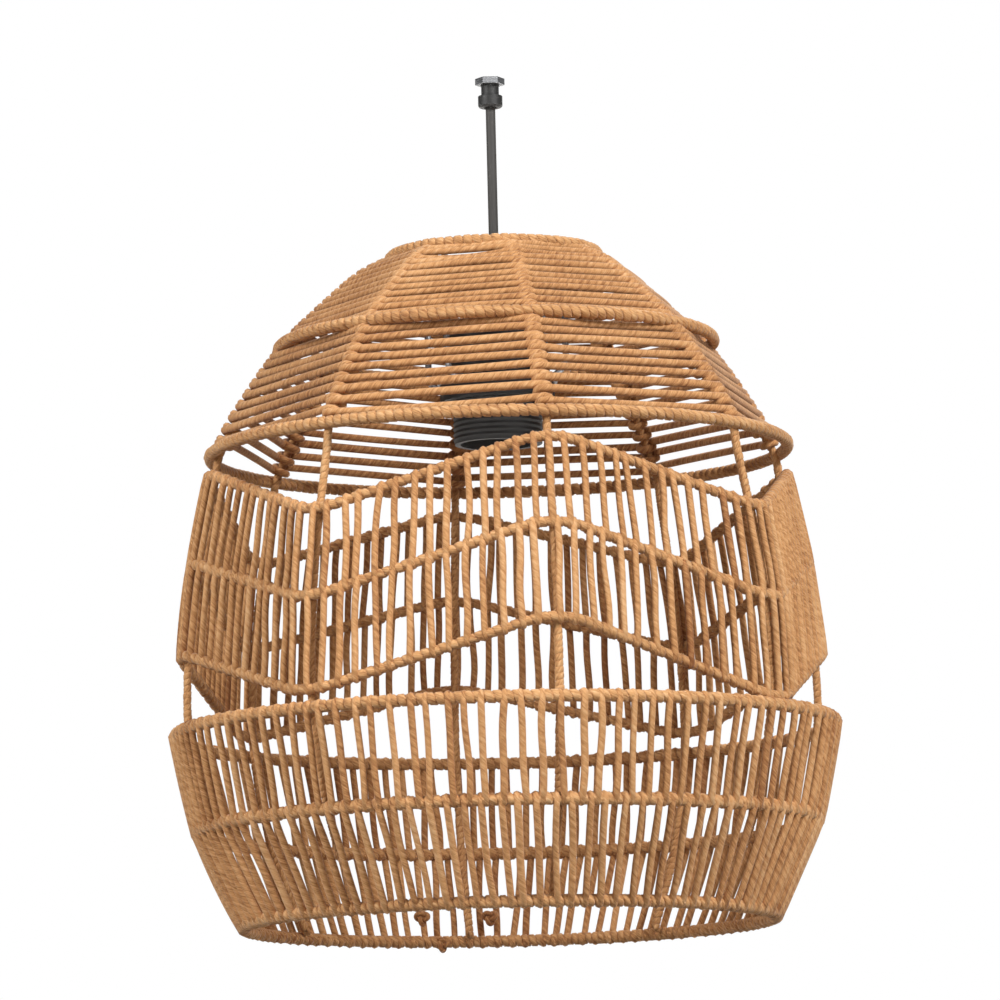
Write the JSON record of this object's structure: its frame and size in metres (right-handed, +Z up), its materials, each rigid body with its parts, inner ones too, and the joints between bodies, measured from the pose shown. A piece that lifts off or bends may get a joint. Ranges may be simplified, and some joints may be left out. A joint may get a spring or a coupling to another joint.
{
  "type": "pendant lamp shade",
  "caption": "Egg-shaped pendant shade of twisted paper rope woven on a wire frame, with zigzag middle section, lamp holder and suspension cord",
  "frame": {"origin": "the point that the shade hangs from, at the centre of the arm gland's mouth", "axes": "+Z up along the cord, -Y towards the viewer in front, +X to the viewer's right; the front rib stands 7.5 degrees to the right of -Y"},
  "size_m": [0.3, 0.3, 0.3845],
  "materials": {
    "black_moulding": "satin moulded",
    "black_paint": "satin powder coat",
    "plated_steel": "zinc plated",
    "contact_brass": "pressed sheet",
    "white_moulding": "moulded",
    "grey_cable": "matte sheath",
    "paper_rope": "twisted kraft paper rope",
    "paper_winding": "kraft paper rope wound on wire"
  },
  "bodies": {
    "arm_mount": {"arm_gland": "black_paint", "gland_nut": "plated_steel"},
    "cord": {"suspension_cord": "grey_cable"},
    "holder": {"cord_grip": "black_moulding", "grip_screw": "plated_steel", "holder_cover": "black_moulding", "holder_skirt": "black_moulding", "contact_insert": "white_moulding", "screw_shell": "contact_brass", "centre_contact": "contact_brass"},
    "shade": {"band_bottom_ring": "paper_winding", "band_lower_weave": "paper_rope", "band_middle_ring": "paper_winding", "band_top_ring": "paper_winding", "band_upper_weave": "paper_rope", "cap_lower_ring": "paper_winding", "cap_lower_weave": "paper_rope", "cap_middle_ring": "paper_winding", "cap_upper_weave": "paper_rope", "fitter_ring": "plated_steel", "middle_lower_weave": "paper_rope", "middle_upper_weave": "paper_rope", "rib_1": "paper_winding", "rib_2": "paper_winding", "rib_3": "paper_winding", "rib_4": "paper_winding", "rib_5": "paper_winding", "rib_6": "paper_winding", "rib_7": "paper_winding", "rib_8": "paper_winding", "spider_arm_1": "plated_steel", "spider_arm_2": "plated_steel", "spider_arm_3": "plated_steel", "spider_arm_4": "plated_steel", "top_ring": "paper_winding", "zigzag_lower": "paper_winding", "zigzag_middle": "paper_winding", "zigzag_upper": "paper_winding"},
    "ring_nut": {"retaining_ring": "black_moulding"}
  },
  "joints": [
    {"name": "cord_swing", "type": "hinge", "parent": "arm_mount", "child": "cord", "pos_m": [0, 0, 0], "axis": [0, 1, 0], "range_deg": [-20, 20]},
    {"name": "shade_sway", "type": "hinge", "parent": "cord", "child": "holder", "pos_m": [0, 0, -0.0893], "axis": [1, 0, 0], "range_deg": [-20, 20]},
    {"name": "shade_turn", "type": "hinge", "parent": "holder", "child": "shade", "pos_m": [0, 0, -0.1248], "axis": [0, 0, 1], "continuous": true},
    {"name": "ring_unscrew", "type": "slide", "parent": "holder", "child": "ring_nut", "axis": [0, 0, -1], "range_m": [0, 0.019]}
  ]
}
